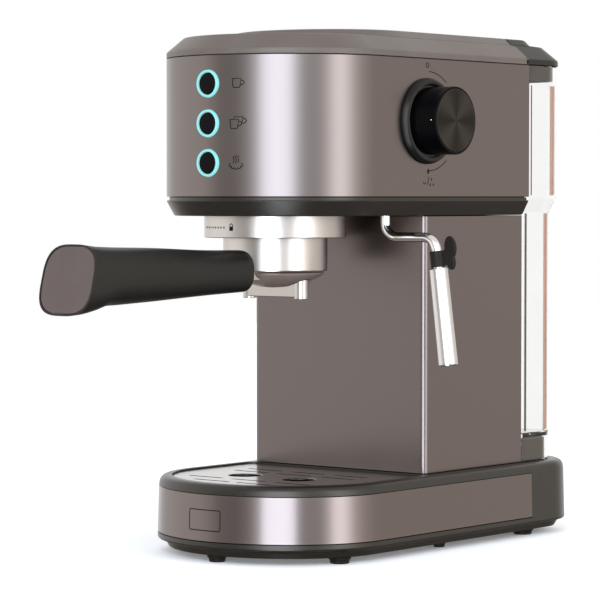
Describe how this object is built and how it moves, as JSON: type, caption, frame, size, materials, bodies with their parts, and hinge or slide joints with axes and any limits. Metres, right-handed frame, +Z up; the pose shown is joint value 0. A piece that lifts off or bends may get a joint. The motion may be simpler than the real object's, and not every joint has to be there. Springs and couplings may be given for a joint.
{
  "type": "espresso machine",
  "caption": "Slim pump espresso machine: overhanging head with push buttons and steam knob, twist-lock portafilter, swivelling steam wand, lift-out drip tray and rear water tank.",
  "frame": {"origin": "middle of the outer box's footprint, on the floor under the feet", "axes": "+Z up; -Y the front, where the handle points; +X the side of the steam knob and the wand, on the viewer's right when facing the machine"},
  "size_m": [0.1774, 0.391, 0.304],
  "materials": {
    "taupe_steel": "brushed, satin",
    "taupe_paint": "satin",
    "charcoal_plastic": "fine matt texture",
    "black_plastic": "satin",
    "steel": "fine brushed",
    "chrome": "polished",
    "aluminium": "plain",
    "spun_metal": "spun, dark",
    "brass": "turned",
    "rubber": "matt",
    "silicone": "translucent white",
    "clear_plastic": "clear",
    "light_ring": "clear, lit from behind",
    "circuit_board": "green board"
  },
  "bodies": {
    "housing": {"base_shell": "charcoal_plastic", "base_band": "taupe_steel", "base_cover": "charcoal_plastic", "base_screw_front_left": "steel", "base_screw_front_right": "steel", "base_screw_rear_left": "steel", "base_screw_rear_right": "steel", "foot_front": "rubber", "foot_left": "rubber", "foot_right": "rubber", "foot_middle_left": "rubber", "foot_middle_right": "rubber", "foot_rear_left": "rubber", "foot_rear_right": "rubber", "cord_inlet": "rubber", "column_wrap": "taupe_paint", "column_back": "charcoal_plastic", "head_skirt": "charcoal_plastic", "head_panel": "taupe_steel", "head_back": "charcoal_plastic", "top_cover": "taupe_paint", "tank_seat": "taupe_paint", "group_collar": "steel", "group_head": "aluminium", "group_gasket": "rubber", "shower_screen": "steel", "boiler": "aluminium", "light_guide": "light_ring", "control_board": "circuit_board", "knob_bezel": "black_plastic", "steam_valve": "brass", "wand_socket": "brass", "pump": "black_plastic", "pump_mount": "rubber", "pump_bracket": "aluminium", "suction_hose": "silicone", "pressure_hose": "silicone", "boiler_steam_pipe": "steel", "wand_steam_pipe": "steel"},
    "portafilter": {"portafilter_cup": "steel", "filter_basket": "steel", "portafilter_bowl": "black_plastic", "twin_spout": "steel", "handle_grip": "black_plastic", "handle_cap": "taupe_paint"},
    "one_cup_button": {"button_one_cup": "black_plastic"},
    "two_cups_button": {"button_two_cups": "black_plastic"},
    "steam_button": {"button_steam": "black_plastic"},
    "knob": {"steam_knob": "black_plastic", "knob_face": "spun_metal", "valve_stem": "brass"},
    "wand": {"wand_pipe": "chrome", "wand_grip": "rubber"},
    "sleeve": {"froth_sleeve": "steel"},
    "tank": {"water_tank": "clear_plastic", "tank_rim": "taupe_paint", "tank_valve": "black_plastic"},
    "lid": {"tank_lid": "charcoal_plastic"},
    "tray": {"drip_tray": "black_plastic"},
    "grille": {"drip_grille": "steel"}
  },
  "joints": [
    {"name": "portafilter_twist", "type": "hinge", "parent": "housing", "child": "portafilter", "pos_m": [-0.01373, -0.01699, 0.1975], "axis": [0, 0, 1], "range_deg": [-45, 0]},
    {"name": "one_cup_press", "type": "slide", "parent": "housing", "child": "one_cup_button", "axis": [0, 1, 0], "range_m": [0, 0.0012], "stiffness_N_per_m": 600, "springref_m": -0.0005},
    {"name": "two_cups_press", "type": "slide", "parent": "housing", "child": "two_cups_button", "axis": [0, 1, 0], "range_m": [0, 0.0012], "stiffness_N_per_m": 600, "springref_m": -0.0005},
    {"name": "steam_press", "type": "slide", "parent": "housing", "child": "steam_button", "axis": [0, 1, 0], "range_m": [0, 0.0012], "stiffness_N_per_m": 600, "springref_m": -0.0005},
    {"name": "steam_knob_turn", "type": "hinge", "parent": "housing", "child": "knob", "pos_m": [0.05667, 0.03571, 0.2514], "axis": [-1, 0, 0], "range_deg": [0, 180]},
    {"name": "wand_swivel", "type": "hinge", "parent": "housing", "child": "wand", "pos_m": [0.03777, 0.02101, 0.1966], "axis": [0, 0, 1], "range_deg": [-70, 35]},
    {"name": "sleeve_pull", "type": "slide", "parent": "wand", "child": "sleeve", "axis": [0.1279, 0, -0.9918], "range_m": [0, 0.045]},
    {"name": "tank_lift", "type": "slide", "parent": "housing", "child": "tank", "axis": [0, 0, 1], "range_m": [0, 0.1]},
    {"name": "lid_flip", "type": "hinge", "parent": "tank", "child": "lid", "pos_m": [-0.01373, 0.13621, 0.3042], "axis": [1, 0, 0], "range_deg": [0, 95]},
    {"name": "tray_lift", "type": "slide", "parent": "housing", "child": "tray", "axis": [0, 0, 1], "range_m": [0, 0.045]},
    {"name": "grille_lift", "type": "slide", "parent": "tray", "child": "grille", "axis": [0, 0, 1], "range_m": [0, 0.03]}
  ]
}
